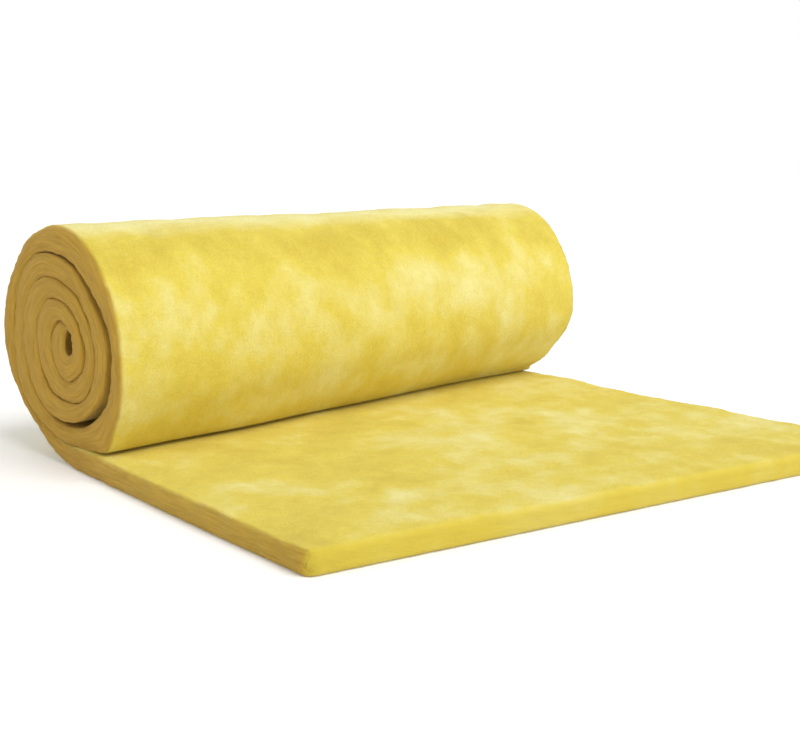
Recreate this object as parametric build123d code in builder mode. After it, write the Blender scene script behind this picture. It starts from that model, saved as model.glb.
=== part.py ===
from build123d import *
import math
import os

# One glass wool blanket, partly rolled up and lying on its side.
# X runs from the roll towards the free end, Y along the roll, Z is up.
# The origin is on the floor, below the middle of the roll.

# The blanket
blanket_width = 1200
flap_thickness = 42

# The flat flap, which leaves the roll a little askew and is cut out of square
near_run = 738
far_run = 979
flap_slew = 2.8
free_end_rounding = 9

# The roll, which its own weight presses flat where it meets the floor
roll_height = 442
front_flattening = 6
pressed_flat = 20
back_radius = roll_height / 2
front_radius = back_radius - front_flattening

# How far the back stands inside its own circle, at four angles around it
back_slack = {145: 3, 178: -2, 208: 9, 242: 18}

# The turns, each a half circle up the back and a smaller one down the front
turn_pitch = 38
top_turn_thickness = 53
front_turn_thickness = 32
winding_x = 0
winding_radius = (roll_height - top_turn_thickness - flap_thickness) / 2
turn_count = int(winding_radius / turn_pitch)
winding_back_z = flap_thickness + winding_radius
winding_front_z = winding_back_z + turn_pitch / 2

# The open gap inside the outer turn, with its width at four angles
gap_tightening = 13.5
gap_start_angle = 107
gap_end_angle = -112
gap_width = {-85: 13, -45: 20, 0: 13, 50: 9}
gap_radius = winding_radius - gap_tightening

# The line that the turns show on the two ends, which runs into the gap's two tips
seam_width = 3
seam_depth = 18
seam_past_nip = 6
seam_gap_top_angle = 94
seam_gap_foot_angle = 262

# The collapsed bore, which stands open between the two innermost turns
bore_width = 32
bore_height = 46
bore_lean = 11
bore_radius = winding_radius - (turn_count - 0.5) * turn_pitch


def around(centre, radius, angle):
    """A place at this radius and angle from the centre."""
    x = centre[0] + radius * math.cos(math.radians(angle))
    z = centre[1] + radius * math.sin(math.radians(angle))
    return (x, z)


back_centre = (0, back_radius)
front_centre = (0, roll_height - front_radius)
winding_back = (winding_x, winding_back_z)
winding_front = (winding_x, winding_front_z)
gap_centre = (front_radius - front_turn_thickness - gap_radius, winding_front_z)

roll_top = (0, roll_height)
roll_foot = (-pressed_flat, 0)
back_points = [around(back_centre, back_radius - s, a) for a, s in back_slack.items()]

# Where the outer turn comes down onto the top of the flap
nip_angle = -math.degrees(math.asin((front_centre[1] - flap_thickness) / front_radius))
nip = around(front_centre, front_radius, nip_angle)

gap_start = around(gap_centre, gap_radius, gap_start_angle)
gap_end = around(gap_centre, gap_radius, gap_end_angle)
gap_inner_points = [around(gap_centre, gap_radius - w, a) for a, w in gap_width.items()]

bore_middle = Vector(*around(winding_front, bore_radius, 0))
bore_tip = Vector(0, bore_height / 2).rotate(Axis.Z, bore_lean)
bore_side = Vector(bore_width / 2, 0).rotate(Axis.Z, bore_lean)

sideways = math.tan(math.radians(flap_slew))
near_corner = (near_run, -blanket_width / 2 - near_run * sideways)
far_corner = (far_run, blanket_width / 2 - far_run * sideways)

with BuildPart() as blanket:

    # The roll is one section, carried along its whole width.
    with BuildSketch(Plane.XZ):
        with BuildLine():
            Line(roll_foot, nip)
            ThreePointArc(nip, around(front_centre, front_radius, 0), roll_top)
            Spline(roll_top, *back_points, roll_foot)
        make_face()
    extrude(amount=blanket_width / 2, both=True)

    # The flap lies flat and passes under the roll.
    with BuildSketch(Plane.XY):
        with BuildLine():
            Polyline(
                (-pressed_flat, -blanket_width / 2),
                (0, -blanket_width / 2),
                near_corner,
                far_corner,
                (0, blanket_width / 2),
                (-pressed_flat, blanket_width / 2),
                close=True,
            )
        make_face()
    extrude(amount=flap_thickness)

    # The free end's upper and lower edges are soft.
    free_end = blanket.faces().sort_by(Axis.X)[-1]
    soft_edges = free_end.edges().filter_by(Axis.Z, reverse=True)
    fillet(soft_edges, radius=free_end_rounding)

    # The outer turn stands off the turns inside it, over the top and down the front.
    with BuildSketch(Plane.XZ):
        with BuildLine():
            ThreePointArc(gap_start, around(gap_centre, gap_radius, 0), gap_end)
            Spline(gap_end, *gap_inner_points, gap_start)
        make_face()
    extrude(amount=blanket_width / 2, both=True, mode=Mode.SUBTRACT)

    # The bore has sunk into a narrow hole, pointed at its top and bottom.
    with BuildSketch(Plane.XZ):
        with BuildLine():
            ThreePointArc(
                bore_middle - bore_tip, bore_middle + bore_side, bore_middle + bore_tip
            )
            ThreePointArc(
                bore_middle + bore_tip, bore_middle - bore_side, bore_middle - bore_tip
            )
        make_face()
    extrude(amount=blanket_width / 2, both=True, mode=Mode.SUBTRACT)

    # On both ends the turns show as one line, from the flap in to the core.
    for end_y in (-blanket_width / 2, blanket_width / 2):
        with BuildSketch(Plane.XZ.offset(-end_y)):
            with BuildLine():
                Line((nip[0] + seam_past_nip, flap_thickness), (winding_x, flap_thickness))
                CenterArc(winding_back, winding_radius, 270, seam_gap_top_angle - 270)
            trace(line_width=seam_width)
            with BuildLine():
                for turn in range(1, turn_count):
                    turn_radius = winding_radius - turn * turn_pitch
                    first = seam_gap_foot_angle if turn == 1 else 270
                    CenterArc(winding_back, turn_radius, first, 90 - first)
                    CenterArc(winding_front, turn_radius - turn_pitch / 2, 90, -180)
            trace(line_width=seam_width)
        into_roll = math.copysign(seam_depth, end_y)
        extrude(amount=into_roll, mode=Mode.SUBTRACT)

blanket.part.label = "glass_wool_blanket"

os.makedirs("parts", exist_ok=True)
export_step(blanket.part, "parts/glass_wool_blanket.step")
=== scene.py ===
import math
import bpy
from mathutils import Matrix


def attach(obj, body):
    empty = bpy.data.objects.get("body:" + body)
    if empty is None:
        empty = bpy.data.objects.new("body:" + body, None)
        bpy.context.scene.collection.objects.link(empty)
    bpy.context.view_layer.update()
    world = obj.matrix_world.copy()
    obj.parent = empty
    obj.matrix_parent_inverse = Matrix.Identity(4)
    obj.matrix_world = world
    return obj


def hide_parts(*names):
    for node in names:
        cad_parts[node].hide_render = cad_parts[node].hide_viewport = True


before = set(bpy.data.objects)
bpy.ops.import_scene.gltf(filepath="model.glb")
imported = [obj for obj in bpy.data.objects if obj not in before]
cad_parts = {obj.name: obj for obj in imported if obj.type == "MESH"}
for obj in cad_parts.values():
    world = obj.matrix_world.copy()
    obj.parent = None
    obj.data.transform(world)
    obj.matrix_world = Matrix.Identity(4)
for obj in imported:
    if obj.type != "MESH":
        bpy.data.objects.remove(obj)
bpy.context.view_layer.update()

from types import SimpleNamespace

import bpy
import numpy as np
from mathutils import Matrix, Vector, noise

print("frame loaded")

# The blanket, in metres unless a line says otherwise
blanket = {
    "width": 1.2,
    "thickness": 0.042,
    "rollHeight": 0.44,
    "nearRun": 0.747,  # from the roll's axis to the free end, along the near side
    "farRun": 0.993,  # and along the far side
    "slew": math.radians(2.95),  # the flap leaves the roll this much askew
    "slit": 0.0010,  # between turns that press on each other
    # the mesh
    "rows": 100,
    "flapColumns": 78,
    "outerColumns": 124,  # along the outer turn
    "innerColumns": 206,  # along the turns inside it
    "layers": 6,
    "sideRows": [0, 0.0015, 0.004, 0.008, 0.015],  # from each cut side
    "middleRows": 0.025,  # from here on the rows are even
    "endColumns": [0, 0.0015, 0.004, 0.009, 0.016],  # from the free end, in flap lengths
    "evenColumns": 0.028,
    # rounded corners
    "cornerRadius": 0.0055,
    "innerCornerRadius": 0.0032,
    "freeEndRadius": 0.010,
    "innerEndRadius": 0.004,
    "planCorner": 0.020,
    # the far end of the roll, against the near one
    "farSwing": 0.019,  # it stands this much nearer the free end
    "farTuck": 0.025,  # is tucked in this much above the flap
    "farPinch": 0.015,  # and this much more right at the flap
    "farGrowth": 0.008,  # and is this much taller
    # soft, uneven wool
    "lump": 0.0038,
    "ripple": 0.0014,
    "telescope": 0.007,  # how far a turn slides out at a cut side
    "roughCut": 0.0020,
    "bulge": 0.0030,  # of a cut side's middle
    "fray": 0.0009,
    "frayReach": 0.006,
    "nipWander": 0.014,
    "unsteady": 5.0,  # of the winding's radius, in millimetres
    "seed": 11,
    # pale and deep places on the flap: x, y, size, amount
    "flapSpots": [
        (0.65, -0.365, 0.035, 0.7),
        (0.56, -0.22, 0.08, 0.2),
        (0.45, 0.05, 0.16, 0.2),
        (0.62, 0.25, 0.14, 0.2),
        (0.38, -0.42, 0.13, -0.3),
    ],
    # bands of painted light and painted shade round the roll: angle, spread, amount
    "paintedLightBand": (252, 17, 0.45),
    "paintedFootLightBand": (308, 16, 0.35),
    "paintedShadeBand": (211, 15, -0.55),
    # a painted highlight along the roll's top: angle, spread
    "paintedTopHighlightBand": (180, 21),
}

# The winding's own line, from the foot of the roll inwards to the bore, x and z in millimetres
winding = [
    # the outside: up the back, over the top and down the front
    (41, 0), (20, 1), (-5, 5), (-30, 13), (-58, 26), (-85, 42), (-113, 60), (-139, 79),
    (-164, 102), (-190, 131), (-207, 167), (-219, 204), (-223, 233), (-217, 266), (-201, 305),
    (-176, 344), (-143, 381), (-109, 405), (-55, 428), (-15, 438), (23, 441), (55, 436),
    (85, 424), (114, 406), (140, 384), (164, 356), (184, 324), (199, 290), (209, 256),
    (215, 222), (213, 186), (205, 154), (193, 126), (177, 99), (163, 80), (152, 65), (143, 53),
    # on top of the flap, then up inside the back
    (131, 47), (115, 44.5), (95, 43), (70, 42.6), (41, 42.6), (10, 43), (-20, 45), (-50, 53),
    (-80, 67), (-112, 89), (-142, 121), (-163, 156), (-176, 197), (-180, 238), (-173, 280),
    (-154, 322), (-124, 355), (-90, 374), (-50, 385), (-10, 384), (25, 378), (58, 366),
    (92, 346), (121, 320), (146, 288), (161, 256), (167, 220), (163, 186), (151, 160),
    (133, 139), (108, 120), (78, 103), (48, 92),
    # the third turn
    (20, 85), (-8, 85), (-40, 91), (-72, 108), (-100, 136), (-119, 170), (-130, 208),
    (-131, 248), (-120, 286), (-97, 317), (-64, 338), (-26, 346), (10, 342), (44, 330),
    (76, 310), (103, 284), (121, 254), (128, 224), (123, 194), (108, 166), (84, 143), (52, 127),
    # the fourth turn
    (20, 120), (-12, 124), (-42, 140), (-66, 168), (-78, 202), (-79, 238), (-68, 271),
    (-44, 295), (-12, 306), (20, 304), (48, 293), (72, 274), (88, 250), (93, 224), (86, 198),
    (70, 178), (50, 166),
    # the fifth, which ends at the bore
    (28, 162), (6, 168), (-12, 184), (-22, 206), (-24, 230), (-17, 252), (-2, 266), (14, 270),
    (28, 266), (39, 260), (48, 252), (54, 242), (56, 231), (53, 220), (47, 213), (39, 212),
    (32, 217), (28, 226), (28, 236), (30, 245), (34, 252), (40, 257), (47, 252.5), (52, 243),
]
windingCentre = (41, 234)

# Places along the winding, by the angle in degrees from the foot of the roll
liftAngle = 14  # the outer turn leaves the floor
landAngle = 326  # it nears the flap
nipAngle = 331  # and comes down on it
outerTurnEnd = 392
windingEnd = 1632  # the blanket's inner end, in the bore

# The gap inside the outer turn: its width in millimetres, by angle
gapAngles = [150, 168, 200, 235, 270, 300, 322, 345, 362, 380, 396]
gapWidths = [0.0, 2.0, 6.5, 7.5, 9.0, 11.0, 13.0, 12.0, 8.0, 5.0, 0.0]


def hill(at, middle, spread):
    # 1 in the middle, and fading out on both sides
    return np.exp(-(((at - middle) / spread) ** 2))


def fadeIn(at, start, length):
    return np.clip((at - start) / length, 0, 1)


def fadeOut(at, end, length):
    return np.clip((end - at) / length, 0, 1)


def noiseAt(places):
    return np.array([noise.noise(Vector(place)) for place in places])


def fractalAt(places, seed, scale):
    shift = Vector((seed, seed * 0.7, seed * 0.3))
    finer, spacing, octaves = 0.9, 2.1, 3
    spots = [Vector(place) * scale + shift for place in places]
    return np.array([noise.fractal(spot, finer, spacing, octaves) for spot in spots])


def windingTable():
    # the line as radius by angle, the angle growing all the way in
    angles, radii = [], []
    for x, z in winding:
        angle = math.degrees(math.atan2(windingCentre[0] - x, windingCentre[1] - z))
        while angles and angle < angles[-1] - 180:
            angle += 360
        angles.append(angle)
        radii.append(math.hypot(x - windingCentre[0], z - windingCentre[1]))
    return np.array(angles), np.array(radii)


def smoothLine(knots, values, at):
    # a smooth line through uneven knots, with a slope at each
    slopes = np.gradient(values, knots)
    i = np.clip(np.searchsorted(knots, at) - 1, 0, len(knots) - 2)
    length = knots[i + 1] - knots[i]
    t = np.clip((at - knots[i]) / length, 0, 1)
    start = (1 + 2 * t) * (1 - t) ** 2 * values[i]
    leaving = t * (1 - t) ** 2 * length * slopes[i]
    end = t * t * (3 - 2 * t) * values[i + 1]
    arriving = t * t * (t - 1) * length * slopes[i + 1]
    return start + leaving + end + arriving


def evenWinding():
    # the line at every half degree, eased everywhere but at the nip, the foot and the bore
    knots, radii = windingTable()
    fine = np.arange(-30, knots[-1], 0.5)
    drawn = smoothLine(knots, radii, fine)
    easeReach, easeSpread = 40, 14  # in half degrees
    weights = np.exp(-((np.arange(-easeReach, easeReach + 1) / easeSpread) ** 2) / 2)
    padded = np.pad(drawn, easeReach, mode="edge")
    eased = np.convolve(padded, weights / weights.sum(), mode="valid")
    atNip, atFoot = hill(fine, nipAngle, 12), hill(fine, 2, 14)
    nearBore = fadeIn(fine, knots[-1] - 90, 60)
    sharp = np.clip(atNip + atFoot + nearBore * 0.5, 0, 1)
    line = drawn * sharp + eased * (1 - sharp)

    # a little unsteady, less so outside, and not on the floor, at the nip or near the bore
    unsteady = noiseAt([(angle / 26, blanket["seed"], 0.5) for angle in fine])
    offFloor, offNip = fadeIn(fine, 30, 40), 1 - hill(fine, 338, 26)
    beforeBore = fadeOut(fine, fine[-1] - 200, 150)
    inwards = np.clip((fine + 100) / 500, 0.3, 1)
    unsteady *= offFloor * offNip * beforeBore * inwards
    return fine, line + unsteady * blanket["unsteady"]


lineAngles, lineRadii = evenWinding()


def onWinding(angle, outwards=0.0):
    radius = np.interp(angle, lineAngles, lineRadii) + outwards
    turn = np.radians(angle)
    return windingCentre[0] - radius * np.sin(turn), windingCentre[1] - radius * np.cos(turn)


def sectionAt(angle):
    # outer and inner face of the blanket where the winding has this angle, in metres
    gap = np.interp(angle, gapAngles, gapWidths) + blanket["slit"] * 1000
    outer = onWinding(angle)
    inner = onWinding(angle + 360, gap)
    return np.array(outer) / 1000, np.array(inner) / 1000


def columnAngles():
    # angles for the columns, evenly spaced along the blanket's middle
    fine = np.linspace(0, windingEnd, 12000)
    outer, inner = sectionAt(fine)
    steps = np.hypot(*np.diff((outer + inner) / 2, axis=1))
    run = np.concatenate([[0], np.cumsum(steps)])
    split = np.interp(outerTurnEnd, fine, run)
    outerRuns = np.linspace(0, split, blanket["outerColumns"] + 1)[1:]
    innerRuns = np.linspace(split, run[-1], blanket["innerColumns"] + 1)[1:]
    runs = np.concatenate([outerRuns, innerRuns])
    return np.interp(runs, run, fine), runs


def rowPlaces():
    # rows across the width, closer together at the two cut sides
    near = np.array(blanket["sideRows"])
    half = blanket["width"] / 2
    reach = half - blanket["middleRows"]
    middle = np.linspace(-reach, reach, blanket["rows"] + 1 - 2 * len(near))
    return np.concatenate([-half + near, middle, (half - near)[::-1]])


def flapShares():
    # columns of the flap from its free end, closer together there
    end = blanket["endColumns"]
    even = np.linspace(blanket["evenColumns"], 1, blanket["flapColumns"] + 1 - len(end))
    return np.concatenate([end, even])


def softCorner(distance, radius):
    # how far a face stands in at this distance from a rounded corner
    t = np.clip(distance / radius, 0, 1)
    return radius * (1 - np.sqrt(1 - (1 - t) ** 2))


def flatBlanket(columns, rows, layers):
    # a flat slab of wool, one unit long, wide and thick
    bpy.ops.object.select_all(action="DESELECT")
    bpy.ops.mesh.primitive_grid_add(
        x_subdivisions=columns, y_subdivisions=rows, size=1, location=(0.5, 0, 0)
    )
    slab = bpy.context.active_object
    bpy.ops.object.mode_set(mode="EDIT")
    bpy.ops.mesh.select_all(action="SELECT")
    for n in range(layers):
        bpy.ops.mesh.extrude_region_move(TRANSFORM_OT_translate={"value": (0, 0, 1 / layers)})
    bpy.ops.mesh.select_all(action="SELECT")
    bpy.ops.mesh.normals_make_consistent(inside=False)
    bpy.ops.object.mode_set(mode="OBJECT")
    bpy.ops.object.transform_apply(location=True, rotation=True, scale=True)
    return slab


def layOut(mesh, columns, angles, runs):
    # what each vertex is in the blanket, from its place in the flat slab
    flat = np.zeros(len(mesh.vertices) * 3)
    mesh.vertices.foreach_get("co", flat)
    flat = flat.reshape(-1, 3)
    column = np.rint(flat[:, 0] * columns).astype(int)
    row = np.rint((flat[:, 1] + 0.5) * blanket["rows"]).astype(int)
    half = blanket["width"] / 2
    flapColumns = blanket["flapColumns"]
    vert = SimpleNamespace()
    vert.through = flat[:, 2].copy()  # 0 on the outer face, 1 on the inner one
    vert.y = rowPlaces()[row]
    vert.side = half - np.abs(vert.y)  # distance from the nearer cut side
    vert.across = (vert.y + half) / blanket["width"]
    vert.sign = np.sign(vert.y)
    vert.flap = column <= flapColumns
    vert.outerTurn = vert.flap | (column < flapColumns + blanket["outerColumns"])

    # the flap runs from its free end, cut out of square, to the foot of the roll
    xEnd = blanket["nearRun"] + (blanket["farRun"] - blanket["nearRun"]) * vert.across
    xFoot = windingCentre[0] / 1000
    x = xEnd - (xEnd - xFoot) * flapShares()[np.clip(column, 0, flapColumns)]
    vert.endDistance = np.where(vert.flap, xEnd - x, 1.0)  # from the free end

    # the two faces of the blanket here
    allAngles = np.concatenate([np.zeros(flapColumns + 1), angles])
    allRuns = np.concatenate([np.zeros(flapColumns + 1), runs])
    outer, inner = (points[:, column].T.copy() for points in sectionAt(allAngles))
    outer[vert.flap] = np.stack([x, np.zeros(len(x))], 1)[vert.flap]
    inner[vert.flap] = np.stack([x, np.full(len(x), blanket["thickness"])], 1)[vert.flap]
    vert.angle = allAngles[column]
    vert.length = np.where(vert.flap, xFoot - x, allRuns[column])  # along the blanket

    # the cut sides and the two ends have soft corners
    thick = np.hypot(*(inner - outer).T)
    sideRadius = np.where(vert.outerTurn, blanket["cornerRadius"], blanket["innerCornerRadius"])
    innerEnd = np.where(vert.flap, 1.0, runs[-1] - vert.length)
    inset = np.maximum.reduce([
        softCorner(vert.side, sideRadius),
        softCorner(vert.endDistance, blanket["freeEndRadius"]),
        softCorner(innerEnd, blanket["innerEndRadius"]),
    ])
    share = np.clip(inset / np.maximum(thick, 0.02), 0, 0.45)
    vert.depth = share + vert.through * (1 - 2 * share)
    vert.place = outer + (inner - outer) * vert.depth[:, None]
    vert.outwards = (outer - inner) / thick[:, None]
    return vert


def lumpFaces(vert):
    # lumps and ripples in the two faces, which stay on the floor and out of each other
    seed = blanket["seed"]
    places = list(zip(vert.length, vert.y, np.where(vert.through < 0.5, 0.0, 0.5)))
    lump = fractalAt(places, seed, 6.5) * blanket["lump"]
    lump += fractalAt(places, seed + 5, 22) * blanket["ripple"]
    nearFace = abs(2 * vert.through - 1)
    x, z = vert.place.T
    low = vert.flap | (vert.angle < liftAngle)
    onFlap = fadeIn(x, 0.13, 0.06) * nearFace * (low & (vert.through > 0.5))
    onRoll = fadeIn(vert.angle, liftAngle, 20) * fadeOut(vert.angle, landAngle, 20)
    onRoll *= nearFace * (~low & (vert.through < 0.5))
    settle = 0.0005  # keeps the flap's lumps level with its thickness
    x = x + vert.outwards[:, 0] * lump * onRoll
    z = z + vert.outwards[:, 1] * lump * onRoll + (lump - settle) * onFlap
    return np.stack([x, vert.y, np.maximum(z, 0)], 1)


def slideTurns(vert, new, outerRun):
    # the roll's turns don't end quite level, and their cut sides swell a little
    edge = fadeOut(vert.side, 0.05, 0.05) ** 2
    near = np.nonzero(edge > 0)[0]
    length, sign, through, depth = (
        values[near] for values in (vert.length, vert.sign, vert.through, vert.depth)
    )
    seed = blanket["seed"]
    heights = np.full(len(near), 0.3)
    slide = noiseAt(zip(length * 4.0, sign * 5 + seed, heights)) * blanket["telescope"]
    slide *= np.where(length > outerRun, 1.5, 1)  # the inner turns slide further
    slide *= np.where(vert.flap[near], 0.4, 1)  # and the flap less
    rough = fractalAt(zip(length, sign, depth * 0.05), seed + 9, 45) * blanket["roughCut"]
    swell = (1 - (2 * through - 1) ** 2) * blanket["bulge"]
    new[near, 1] += sign * (slide + rough + swell) * edge[near]


def frayCorners(vert, new):
    # loose wool frays the corners of the cut sides and of the free end
    frayed = hill(np.minimum(vert.side, vert.endDistance), 0, blanket["frayReach"])
    loose = np.random.default_rng(blanket["seed"]).uniform(-1, 1, (len(new), 3))
    loose *= blanket["fray"] * frayed[:, None]
    loose[:, 2] *= new[:, 2] > 0.004  # but not into the floor
    new += loose


def leanFarEnd(vert, new):
    # the far end of the roll lies a little nearer the free end, and the nip line wanders
    x, height = new[:, 0].copy(), new[:, 2].copy()
    towardsFar = vert.across**1.6 * ~vert.flap
    rise = fadeIn(height, 0.06, 0.2)
    swing = blanket["farSwing"] * rise * rise * (3 - 2 * rise)
    low, higher = hill(height, 0.053, 0.026), hill(height, 0.09, 0.045)
    atFlap = hill(height, 0.051, 0.011)
    tuck = blanket["farTuck"] * (low + 0.5 * higher) + blanket["farPinch"] * atFlap
    tuck *= fadeIn(x, 0.09, 0.05)  # only in front of the roll's foot
    new[:, 0] += towardsFar * (swing - tuck)
    new[:, 2] += towardsFar * blanket["farGrowth"] * height / blanket["rollHeight"]
    wander = noiseAt([(y * 4.2, blanket["seed"], 1.7) for y in vert.y]) * blanket["nipWander"]
    atNip = hill(vert.angle, nipAngle, 14) * (~vert.flap & (vert.through < 0.5))
    new[:, 0] += wander * atNip


def wearEndCorners(vert, new):
    # the free end's two corners are worn round
    radius = blanket["planCorner"]
    u = fadeOut(vert.side, radius, radius)
    w = fadeOut(vert.endDistance, radius, radius)
    new[:, 0] -= radius * w * (1 - np.sqrt(1 - u * u / 2))
    new[:, 1] -= vert.sign * radius * u * (1 - np.sqrt(1 - w * w / 2))


def keepValue(mesh, name, values):
    mesh.attributes.new(name, "FLOAT", "POINT").data.foreach_set("value", values)


def markPlaces(mesh, vert, new):
    # what the material reads: cut sides with painted shade inside the roll and a painted lighter
    # flap side, painted shade in the gap and bore, a painted highlight on the roll's top, tone
    # with bands of painted light and shade, the flat blanket
    angle, through, side = vert.angle, vert.through, vert.side
    outerFace, innerFace = through < 0.5, through > 0.5
    # painted shade: on the faces inside the roll the cut sides' brown reaches 50 mm in, darkening
    # them near the roll's ends
    inside = ~vert.flap & ((angle > 400) | (innerFace & (angle > 20)))
    cut = 1 - np.clip(side / np.where(inside, 0.05, 0.006), 0, 1)
    # painted light: the flap's cut sides get less brown away from the roll, so they read lighter
    cut *= 1 - 0.18 * fadeIn(new[:, 0], 0.04, 0.25) * vert.flap
    keepValue(mesh, "cutSideAndPaintedLight", cut)
    keepValue(mesh, "freeEnd", fadeOut(vert.endDistance, 0.008, 0.008))

    # painted shade: the gap's walls are darkened only near the two ends, and the bore all through
    gapOuterWall = (angle > 150) & (angle < 400) & (through > 0.99)
    gapInnerWall = (angle > 510) & (angle < 760) & (through < 0.01)
    inBore = (angle > 1250) & (through > 0.99)
    deep = 0.28 * fadeOut(side, 0.2, 0.2) * (gapOuterWall | gapInnerWall) + 1.0 * inBore
    keepValue(mesh, "paintedShadeInside", deep * (side > 0.001))

    # painted highlight: the roll's top is painted pale round this angle
    highlightAngle, highlightSpread = blanket["paintedTopHighlightBand"]
    keepValue(mesh, "paintedTopHighlight", hill(angle, highlightAngle, highlightSpread) * outerFace)

    # the roll's bands are painted light and painted shade; the flap's spots are its own tone
    def band(name):
        middle, spread, amount = blanket[name]
        return amount * hill(angle, middle, spread)

    toneAndPaintedLight = band("paintedLightBand") * np.clip((vert.y + 0.35) / 0.6, 0.15, 1)
    toneAndPaintedLight += band("paintedFootLightBand") + band("paintedShadeBand")
    toneAndPaintedLight *= ~vert.flap & outerFace & (angle < 345)
    for x, y, size, amount in blanket["flapSpots"]:
        away = np.hypot(new[:, 0] - x, new[:, 1] - y)
        toneAndPaintedLight += amount * hill(away, 0, size) * vert.flap * innerFace
    keepValue(mesh, "toneAndPaintedLight", toneAndPaintedLight)

    flat = np.stack([vert.length, vert.y, vert.depth * blanket["thickness"]], 1)
    flatPlace = mesh.attributes.new("flatPlace", "FLOAT_VECTOR", "POINT")
    flatPlace.data.foreach_set("vector", flat.ravel())


def windBlanket():
    angles, runs = columnAngles()
    columns = blanket["flapColumns"] + len(angles)
    wound = flatBlanket(columns, blanket["rows"], blanket["layers"])
    wound.name = "glass_wool_blanket_wound"
    mesh = wound.data
    vert = layOut(mesh, columns, angles, runs)
    new = lumpFaces(vert)
    slideTurns(vert, new, runs[blanket["outerColumns"]])
    frayCorners(vert, new)
    leanFarEnd(vert, new)
    wearEndCorners(vert, new)
    ahead = np.clip(new[:, 0], 0, None) * vert.flap
    new[:, 1] -= ahead * math.tan(blanket["slew"])
    mesh.vertices.foreach_set("co", new.ravel())
    mesh.update()

    # winding the flat slab has turned it inside out
    bpy.ops.object.mode_set(mode="EDIT")
    bpy.ops.mesh.select_all(action="SELECT")
    bpy.ops.mesh.flip_normals()
    bpy.ops.object.mode_set(mode="OBJECT")

    markPlaces(mesh, vert, new)
    for face in mesh.polygons:
        face.use_smooth = True
    return wound


wool = windBlanket()
print("blanket wound:", len(wool.data.polygons), "faces")

# The glass wool: its own colours as they are in plain light, with a painted highlight colour and
# a painted shade colour for inside the roll
woolLook = {
    "yellow": (0.80, 0.645, 0.092, 1),
    "pale": (0.90, 0.82, 0.33, 1),
    "deep": (0.69, 0.530, 0.060, 1),
    # the painted highlight colour for the roll's top
    "paintedTopHighlight": (0.94, 0.88, 0.42, 1),
    "cut": (0.68, 0.41, 0.060, 1),
    "cutDeep": (0.50, 0.29, 0.038, 1),
    # the painted shade colour for the gap and the bore
    "paintedShadeInside": (0.52, 0.44, 0.30, 1),
    "freeEnd": (0.75, 0.575, 0.064, 1),
    "freeEndShare": 0.75,
    "roughness": 0.95,
    "specular": 0.15,
    "sheen": 0.14,
    "sheenRoughness": 0.45,
    "sheenTint": (1, 0.97, 0.80, 1),
    "cloudShare": 0.46,  # the rest of the face's colour is from the patches
    # how far the tone and its painted light and shade bands shift the colour ramp
    "toneAndPaintedLightShare": 0.20,
    "fibreTone": (0.86, 1.10),
    # how far the painted highlight reaches, and how its streaks break it up
    "paintedHighlightReach": 1.35,
    "paintedHighlightStreaks": -1.25,
    "strandShare": 0.30,
    "strandBump": 0.20,
    "fibreBump": 0.50,
    "bumpHeight": 0.003,
}

# Noises on the flat blanket: scale along, across and through it, turn in degrees,
# detail, roughness and distortion
woolNoises = {
    "patches": ((6, 6, 6), 0, 3, 0.5, 0),
    "clouds": ((17, 17, 17), 0, 6, 0.6, 0),
    "fibres": ((90, 150, 400), 12, 6, 0.6, 2.2),
    "crossFibres": ((190, 100, 400), -37, 6, 0.6, 2.2),
    "streaks": ((22, 7, 1), 0, 4, 0.6, 0.8),
    "strands": ((95, 120, 160), 0, 2, 0.5, 3.0),
    "layers": ((14, 40, 330), 0, 5, 0.6, 0.4),
}


def feed(tree, value, socket):
    # a socket takes another one's output, or a plain value
    if isinstance(value, bpy.types.NodeSocket):
        tree.links.new(value, socket)
    else:
        socket.default_value = value


def mathNode(tree, operation, *values, clamp=False):
    made = tree.nodes.new("ShaderNodeMath")
    made.operation = operation
    made.use_clamp = clamp
    for n, value in enumerate(values):
        feed(tree, value, made.inputs[n])
    return made.outputs[0]


def mixNode(tree, factor, first, second, blend="MIX"):
    made = tree.nodes.new("ShaderNodeMix")
    made.data_type = "RGBA"
    made.blend_type = blend
    feed(tree, factor, made.inputs["Factor"])
    feed(tree, first, made.inputs["A"])
    feed(tree, second, made.inputs["B"])
    return made.outputs["Result"]


def rampNode(tree, factor, stops):
    made = tree.nodes.new("ShaderNodeValToRGB")
    first, last = made.color_ramp.elements
    first.position, first.color = stops[0]
    last.position, last.color = stops[-1]
    for place, colour in stops[1:-1]:
        made.color_ramp.elements.new(place).color = colour
    feed(tree, factor, made.inputs["Fac"])
    return made.outputs["Color"]


def rangeNode(tree, value, fromRange, toRange):
    made = tree.nodes.new("ShaderNodeMapRange")
    feed(tree, value, made.inputs["Value"])
    for name, limit in zip(("From Min", "From Max", "To Min", "To Max"), fromRange + toRange):
        made.inputs[name].default_value = limit
    return made.outputs["Result"]


def attributeNode(tree, name, output="Fac"):
    made = tree.nodes.new("ShaderNodeAttribute")
    made.attribute_name = name
    return made.outputs[output]


def noiseNode(tree, flat, name):
    scale, turn, detail, roughness, distortion = woolNoises[name]
    stretch = tree.nodes.new("ShaderNodeMapping")
    stretch.inputs["Scale"].default_value = scale
    stretch.inputs["Rotation"].default_value = (0, 0, math.radians(turn))
    tree.links.new(flat, stretch.inputs["Vector"])
    made = tree.nodes.new("ShaderNodeTexNoise")
    made.inputs["Scale"].default_value = 1
    made.inputs["Detail"].default_value = detail
    made.inputs["Roughness"].default_value = roughness
    made.inputs["Distortion"].default_value = distortion
    tree.links.new(stretch.outputs["Vector"], made.inputs["Vector"])
    return made.outputs["Fac"]


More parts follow.
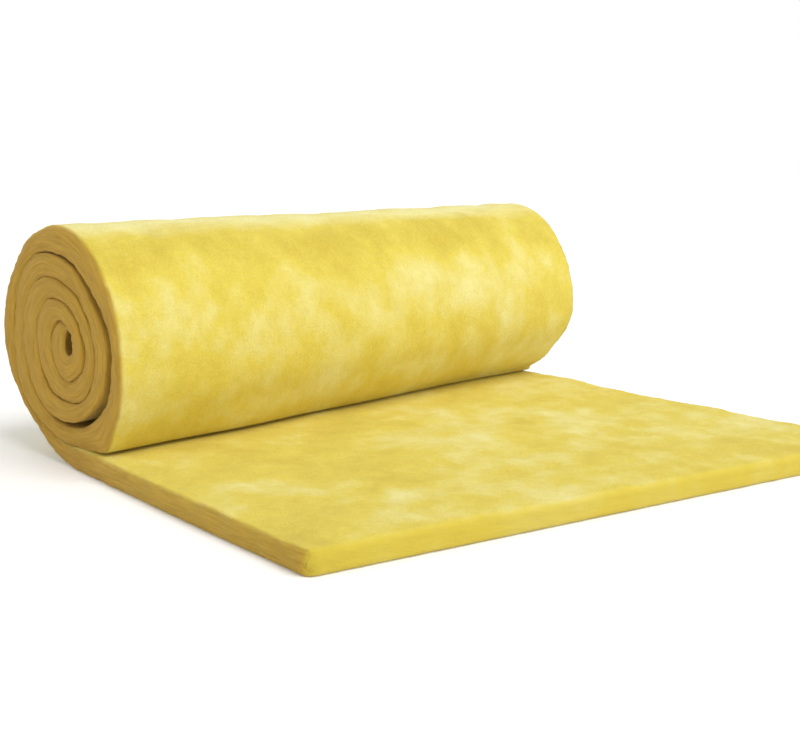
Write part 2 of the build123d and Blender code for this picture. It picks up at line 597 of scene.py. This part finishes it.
def glassWool():
    look = woolLook
    material = bpy.data.materials.new("yellowGlassWool")
    material.use_nodes = True
    tree = material.node_tree
    shader = tree.nodes["Principled BSDF"]
    shader.inputs["Roughness"].default_value = look["roughness"]
    shader.inputs["Specular IOR Level"].default_value = look["specular"]
    shader.inputs["Sheen Weight"].default_value = look["sheen"]
    shader.inputs["Sheen Roughness"].default_value = look["sheenRoughness"]
    shader.inputs["Sheen Tint"].default_value = look["sheenTint"]
    flat = attributeNode(tree, "flatPlace", "Vector")
    cut = attributeNode(tree, "cutSideAndPaintedLight")
    noises = {name: noiseNode(tree, flat, name) for name in woolNoises}

    # broad soft patches with clouds inside them, the flap's paler and deeper places, and the
    # bands of painted light and painted shade round the roll
    patches = mathNode(tree, "MULTIPLY", noises["patches"], 1 - look["cloudShare"])
    mottle = mathNode(tree, "MULTIPLY_ADD", noises["clouds"], look["cloudShare"], patches)
    mottleAndPaintedLight = mathNode(tree, "MULTIPLY_ADD", attributeNode(tree, "toneAndPaintedLight"), look["toneAndPaintedLightShare"], mottle)
    faceStops = [(0.32, look["deep"]), (0.49, look["yellow"]), (0.70, look["pale"])]
    colour = rampNode(tree, mottleAndPaintedLight, faceStops)

    # painted highlight: the roll's top is painted pale, in streaks
    streaks = mathNode(tree, "MULTIPLY", noises["streaks"], look["paintedHighlightStreaks"])
    paintedTopHighlight = attributeNode(tree, "paintedTopHighlight")
    paintedTopHighlight = mathNode(tree, "MULTIPLY_ADD", paintedTopHighlight, look["paintedHighlightReach"], streaks, clamp=True)
    colour = mixNode(tree, paintedTopHighlight, colour, look["paintedTopHighlight"])

    # fibres in two directions, and single glass strands over them
    fibres = mathNode(tree, "ADD", noises["fibres"], noises["crossFibres"])
    fibreTone = rangeNode(tree, fibres, (0.6, 1.4), look["fibreTone"])
    colour = mixNode(tree, 1.0, colour, fibreTone, blend="MULTIPLY")
    black, white = (0, 0, 0, 1), (1, 1, 1, 1)
    strandStops = [(0.470, black), (0.495, white), (0.505, white), (0.530, black)]
    strands = rampNode(tree, noises["strands"], strandStops)
    strandShare = mathNode(tree, "MULTIPLY", strands, look["strandShare"])
    colour = mixNode(tree, strandShare, colour, look["pale"])

    # the cut sides are browner and show the wool's thin layers; the same mix puts painted shade
    # on the faces inside the roll near its ends, and less brown on the flap's cut sides as
    # painted light
    cutColour = rampNode(tree, noises["layers"], [(0.34, look["cutDeep"]), (0.62, look["cut"])])
    colour = mixNode(tree, cut, colour, cutColour)
    freeEnd = mathNode(tree, "MULTIPLY", attributeNode(tree, "freeEnd"), look["freeEndShare"])
    colour = mixNode(tree, freeEnd, colour, look["freeEnd"])
    # painted shade in the gap and the bore
    deep = attributeNode(tree, "paintedShadeInside")
    colour = mixNode(tree, deep, colour, look["paintedShadeInside"], blend="MULTIPLY")
    tree.links.new(colour, shader.inputs["Base Color"])

    layers = mathNode(tree, "MULTIPLY", noises["layers"], cut)
    height = mathNode(tree, "ADD", mathNode(tree, "ADD", fibres, noises["clouds"]), layers)
    height = mathNode(tree, "MULTIPLY_ADD", strands, look["strandBump"], height)
    bump = tree.nodes.new("ShaderNodeBump")
    bump.inputs["Strength"].default_value = look["fibreBump"]
    bump.inputs["Distance"].default_value = look["bumpHeight"]
    tree.links.new(height, bump.inputs["Height"])
    tree.links.new(bump.outputs["Normal"], shader.inputs["Normal"])
    return material


wool.data.materials.append(glassWool())
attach(wool, "root")
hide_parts("glass_wool_blanket")
print("glass wool done")

# The studio
studio = {
    "floorSize": 60,
    "floorColour": (0.90, 0.90, 0.89, 1),
    "floorLift": 0.16,  # the floor is seen this much paler than it is lit
    "worldStrength": 0.58,
    "sunStrength": 1.79,
    "sunFrom": (0.56, 0.08, 0.83),
    "sunAngle": math.radians(38),
    "fillPower": 6.0,
    "fillSize": 1.2,
    "fillPlace": (2.3, 1.5, 0.75),
    "fillAim": (0.15, 0.35, 0.25),
}


def makeFloor():
    bpy.ops.object.select_all(action="DESELECT")
    bpy.ops.mesh.primitive_plane_add(size=studio["floorSize"], location=(0, 0, 0))
    floor = bpy.context.active_object
    floor.name = "studio_floor"
    material = bpy.data.materials.new("paleFloor")
    material.use_nodes = True
    tree = material.node_tree
    shader = tree.nodes["Principled BSDF"]
    shader.inputs["Base Color"].default_value = studio["floorColour"]
    shader.inputs["Roughness"].default_value = 0.9
    shader.inputs["Specular IOR Level"].default_value = 0.1
    shader.inputs["Emission Color"].default_value = (1, 1, 1, 1)
    path = tree.nodes.new("ShaderNodeLightPath")
    lift = mathNode(tree, "MULTIPLY", path.outputs["Is Camera Ray"], studio["floorLift"])
    tree.links.new(lift, shader.inputs["Emission Strength"])
    floor.data.materials.append(material)


def makeWorld():
    # white to the camera, and a plain soft light to everything else
    world = bpy.data.worlds.new("studioWorld")
    bpy.context.scene.world = world
    world.use_nodes = True
    tree = world.node_tree
    background = tree.nodes["Background"]
    background.inputs["Color"].default_value = (1, 1, 1, 1)
    path = tree.nodes.new("ShaderNodeLightPath")
    seen = mathNode(tree, "MAXIMUM", path.outputs["Is Camera Ray"], path.outputs["Is Glossy Ray"])
    strength = rangeNode(tree, seen, (0.0, 1.0), (studio["worldStrength"], 1.0))
    tree.links.new(strength, background.inputs["Strength"])


def makeLamps():
    bpy.ops.object.light_add(type="SUN", location=(2, 0, 3))
    sun = bpy.context.active_object
    sun.name = "softKey"
    sun.data.energy = studio["sunStrength"]
    sun.data.angle = studio["sunAngle"]
    sun.rotation_euler = Vector(studio["sunFrom"]).to_track_quat("Z", "Y").to_euler()
    bpy.ops.object.light_add(type="AREA", location=studio["fillPlace"])
    fill = bpy.context.active_object
    fill.name = "softFill"
    fill.data.energy = studio["fillPower"]
    fill.data.size = studio["fillSize"]
    aim = Vector(studio["fillPlace"]) - Vector(studio["fillAim"])
    fill.rotation_euler = aim.to_track_quat("Z", "Y").to_euler()


# The photograph's viewing angle, in metres, degrees and millimetres of lens
cameraPlace = {
    "location": (1.901, -1.581, 0.574),
    "yaw": 46.02,
    "pitch": -10.7,
    "roll": 0.58,
    "lens": 52.0,
    "sensor": 36,
    "clip": (0.02, 200),
}


def makeCamera():
    data = bpy.data.cameras.new("photoCamera")
    camera = bpy.data.objects.new("photoCamera", data)
    bpy.context.scene.collection.objects.link(camera)
    data.lens = cameraPlace["lens"]
    data.sensor_width = cameraPlace["sensor"]
    data.clip_start, data.clip_end = cameraPlace["clip"]
    turn = Matrix.Rotation(math.radians(cameraPlace["yaw"]), 4, "Z")
    tilt = Matrix.Rotation(math.radians(90 + cameraPlace["pitch"]), 4, "X")
    roll = Matrix.Rotation(math.radians(cameraPlace["roll"]), 4, "Z")
    camera.matrix_world = Matrix.Translation(cameraPlace["location"]) @ turn @ tilt @ roll
    bpy.context.scene.camera = camera


makeFloor()
makeWorld()
makeLamps()
makeCamera()
bpy.context.scene.view_settings.view_transform = "Standard"
print("studio ready")
